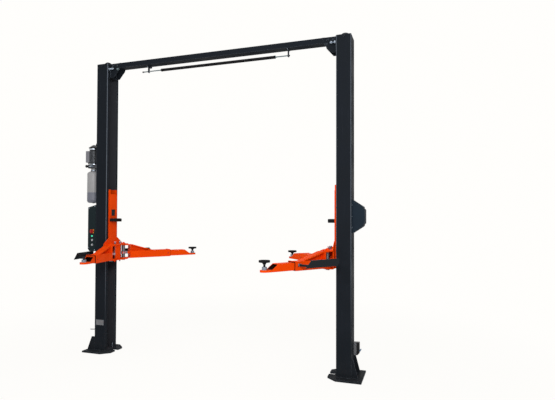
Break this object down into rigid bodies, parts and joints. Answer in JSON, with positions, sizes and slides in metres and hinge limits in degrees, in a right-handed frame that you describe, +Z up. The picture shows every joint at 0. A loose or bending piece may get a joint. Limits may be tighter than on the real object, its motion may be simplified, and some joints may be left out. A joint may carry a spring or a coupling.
{
  "type": "two post car lift",
  "caption": "Two post car lift with channel columns, an overhead beam and limit bar, sliding carriages, telescopic swing arms with screw pads, a power unit and a control box.",
  "frame": {"origin": "centre of the underside of the base plate on the power unit's side", "axes": "+X across the bay from the power unit's column to the other, +Y to the back of the bay, +Z up"},
  "size_m": [3.743, 1.8612, 3.855],
  "materials": {
    "column_paint": "dark grey gloss enamel",
    "arm_paint": "orange gloss enamel",
    "bare_steel": "bright plated steel",
    "black_rubber": "black rubber",
    "guard_paint": "dark grey satin enamel",
    "tank_plastic": "milky moulded plastic",
    "box_plastic": "dark moulded plastic",
    "light_box": "light grey enamel",
    "red_plastic": "red moulded plastic",
    "yellow_plate": "yellow moulded plastic",
    "button_grey": "light grey moulded plastic"
  },
  "bodies": {
    "frame": {"base_left": "column_paint", "base_right": "column_paint", "column_left": "column_paint", "column_right": "column_paint", "overhead_beam": "column_paint", "beam_bracket_left": "column_paint", "beam_bracket_right": "column_paint", "bar_hanger_left": "column_paint", "bar_hanger_right": "column_paint", "cylinder_left": "column_paint", "cylinder_right": "column_paint", "oil_tank": "tank_plastic", "valve_block": "bare_steel", "pump_motor": "guard_paint", "terminal_box": "light_box", "pressure_hose": "black_rubber", "control_box": "box_plastic", "isolator_plate": "yellow_plate", "lock_cover": "box_plastic", "foot_box": "light_box", "blank_plate": "light_box"},
    "carriage_left": {"carriage_left": "arm_paint", "door_buffer_left": "black_rubber"},
    "ram_left": {"ram_left": "bare_steel"},
    "sheave_left": {"sheave_left": "column_paint"},
    "carriage_right": {"carriage_right": "arm_paint", "door_buffer_right": "black_rubber"},
    "ram_right": {"ram_right": "bare_steel"},
    "sheave_right": {"sheave_right": "column_paint"},
    "arm_left_front": {"outer_arm_left_front": "arm_paint", "toe_guard_left_front": "guard_paint"},
    "slide_left_front": {"inner_arm_left_front": "arm_paint"},
    "pad_left_front": {"pad_left_front": "black_rubber"},
    "lock_left_front": {"arm_lock_left_front": "bare_steel"},
    "arm_left_back": {"outer_arm_left_back": "arm_paint", "toe_guard_left_back": "guard_paint"},
    "slide_left_back": {"inner_arm_left_back": "arm_paint"},
    "pad_left_back": {"pad_left_back": "black_rubber"},
    "lock_left_back": {"arm_lock_left_back": "bare_steel"},
    "arm_right_front": {"outer_arm_right_front": "arm_paint", "toe_guard_right_front": "guard_paint"},
    "slide_right_front": {"inner_arm_right_front": "arm_paint"},
    "pad_right_front": {"pad_right_front": "black_rubber"},
    "lock_right_front": {"arm_lock_right_front": "bare_steel"},
    "arm_right_back": {"outer_arm_right_back": "arm_paint", "toe_guard_right_back": "guard_paint"},
    "slide_right_back": {"inner_arm_right_back": "arm_paint"},
    "pad_right_back": {"pad_right_back": "black_rubber"},
    "lock_right_back": {"arm_lock_right_back": "bare_steel"},
    "limit_bar": {"limit_bar": "bare_steel", "bar_sleeve": "black_rubber"},
    "isolator_knob": {"isolator_knob": "red_plastic"},
    "button_up": {"button_up": "button_grey"},
    "button_down": {"button_down": "button_grey"},
    "lowering_lever": {"lowering_lever": "black_rubber"}
  },
  "joints": [
    {"name": "lift_left", "type": "slide", "parent": "frame", "child": "carriage_left", "axis": [0, 0, 1], "range_m": [-1.08, 0.66]},
    {"name": "ram_slide_left", "type": "slide", "parent": "frame", "child": "ram_left", "axis": [0, 0, 1], "range_m": [-0.54, 0.33]},
    {"name": "sheave_turn_left", "type": "hinge", "parent": "frame", "child": "sheave_left", "pos_m": [0.013, 0, 3.783], "axis": [0, 1, 0], "range_deg": [-952, 582]},
    {"name": "lift_right", "type": "slide", "parent": "frame", "child": "carriage_right", "axis": [0, 0, 1], "range_m": [-1.08, 0.66]},
    {"name": "ram_slide_right", "type": "slide", "parent": "frame", "child": "ram_right", "axis": [0, 0, 1], "range_m": [-0.54, 0.33]},
    {"name": "sheave_turn_right", "type": "hinge", "parent": "frame", "child": "sheave_right", "pos_m": [3.224, 0, 3.783], "axis": [0, 1, 0], "range_deg": [-952, 582]},
    {"name": "swing_left_front", "type": "hinge", "parent": "carriage_left", "child": "arm_left_front", "pos_m": [0.1885, -0.13, 1.3], "axis": [0, 0, 1], "range_deg": [-12.3, 77.7]},
    {"name": "extend_left_front", "type": "slide", "parent": "arm_left_front", "child": "slide_left_front", "axis": [0.213, -0.977, 0], "range_m": [-0.048, 0.252]},
    {"name": "raise_pad_left_front", "type": "slide", "parent": "slide_left_front", "child": "pad_left_front", "axis": [0, 0, 1], "range_m": [-0.02, 0.05]},
    {"name": "unlock_left_front", "type": "slide", "parent": "carriage_left", "child": "lock_left_front", "axis": [0, 0, 1], "range_m": [0, 0.015], "stiffness_N_per_m": 300, "springref_m": -0.02},
    {"name": "swing_left_back", "type": "hinge", "parent": "carriage_left", "child": "arm_left_back", "pos_m": [0.1885, 0.13, 1.3], "axis": [0, 0, -1], "range_deg": [-37.8, 52.2]},
    {"name": "extend_left_back", "type": "slide", "parent": "arm_left_back", "child": "slide_left_back", "axis": [0.6129, 0.7902, 0], "range_m": [-0.203, 0.247]},
    {"name": "raise_pad_left_back", "type": "slide", "parent": "slide_left_back", "child": "pad_left_back", "axis": [0, 0, 1], "range_m": [-0.02, 0.05]},
    {"name": "unlock_left_back", "type": "slide", "parent": "carriage_left", "child": "lock_left_back", "axis": [0, 0, 1], "range_m": [0, 0.015], "stiffness_N_per_m": 300, "springref_m": -0.02},
    {"name": "swing_right_front", "type": "hinge", "parent": "carriage_right", "child": "arm_right_front", "pos_m": [3.0485, -0.13, 1.3], "axis": [0, 0, -1], "range_deg": [-35.4, 54.6]},
    {"name": "extend_right_front", "type": "slide", "parent": "arm_right_front", "child": "slide_right_front", "axis": [-0.5793, -0.8151, 0], "range_m": [-0.231, 0.069]},
    {"name": "raise_pad_right_front", "type": "slide", "parent": "slide_right_front", "child": "pad_right_front", "axis": [0, 0, 1], "range_m": [-0.02, 0.05]},
    {"name": "unlock_right_front", "type": "slide", "parent": "carriage_right", "child": "lock_right_front", "axis": [0, 0, 1], "range_m": [0, 0.015], "stiffness_N_per_m": 300, "springref_m": -0.02},
    {"name": "swing_right_back", "type": "hinge", "parent": "carriage_right", "child": "arm_right_back", "pos_m": [3.0485, 0.13, 1.3], "axis": [0, 0, 1], "range_deg": [-45, 45]},
    {"name": "extend_right_back", "type": "slide", "parent": "arm_right_back", "child": "slide_right_back", "axis": [-0.7071, 0.7071, 0], "range_m": [-0.148, 0.302]},
    {"name": "raise_pad_right_back", "type": "slide", "parent": "slide_right_back", "child": "pad_right_back", "axis": [0, 0, 1], "range_m": [-0.02, 0.05]},
    {"name": "unlock_right_back", "type": "slide", "parent": "carriage_right", "child": "lock_right_back", "axis": [0, 0, 1], "range_m": [0, 0.015], "stiffness_N_per_m": 300, "springref_m": -0.02},
    {"name": "bar_lift", "type": "hinge", "parent": "frame", "child": "limit_bar", "pos_m": [2.555, 0, 3.672], "axis": [0, 1, 0], "range_deg": [0, 1]},
    {"name": "isolator_turn", "type": "hinge", "parent": "frame", "child": "isolator_knob", "pos_m": [-0.1215, -0.13, 1.579], "axis": [0, 1, 0], "range_deg": [0, 90]},
    {"name": "press_up", "type": "slide", "parent": "frame", "child": "button_up", "axis": [0, 1, 0], "range_m": [0, 0.003], "stiffness_N_per_m": 400, "springref_m": -0.001},
    {"name": "press_down", "type": "slide", "parent": "frame", "child": "button_down", "axis": [0, 1, 0], "range_m": [0, 0.003], "stiffness_N_per_m": 400, "springref_m": -0.001},
    {"name": "lower_pull", "type": "hinge", "parent": "frame", "child": "lowering_lever", "pos_m": [-0.2035, -0.065, 2.4523], "axis": [0, 1, 0], "range_deg": [-25, 0], "stiffness_Nm_per_rad": 0.5, "springref_deg": 20.05}
  ],
  "couplings": [
    {"joint": "lift_right", "follows": "lift_left", "ratio": 1},
    {"joint": "ram_slide_left", "follows": "lift_left", "ratio": 0.5},
    {"joint": "sheave_turn_left", "follows": "lift_left", "rad_per_m": 15.385},
    {"joint": "ram_slide_right", "follows": "lift_left", "ratio": 0.5},
    {"joint": "sheave_turn_right", "follows": "lift_left", "rad_per_m": 15.385}
  ]
}
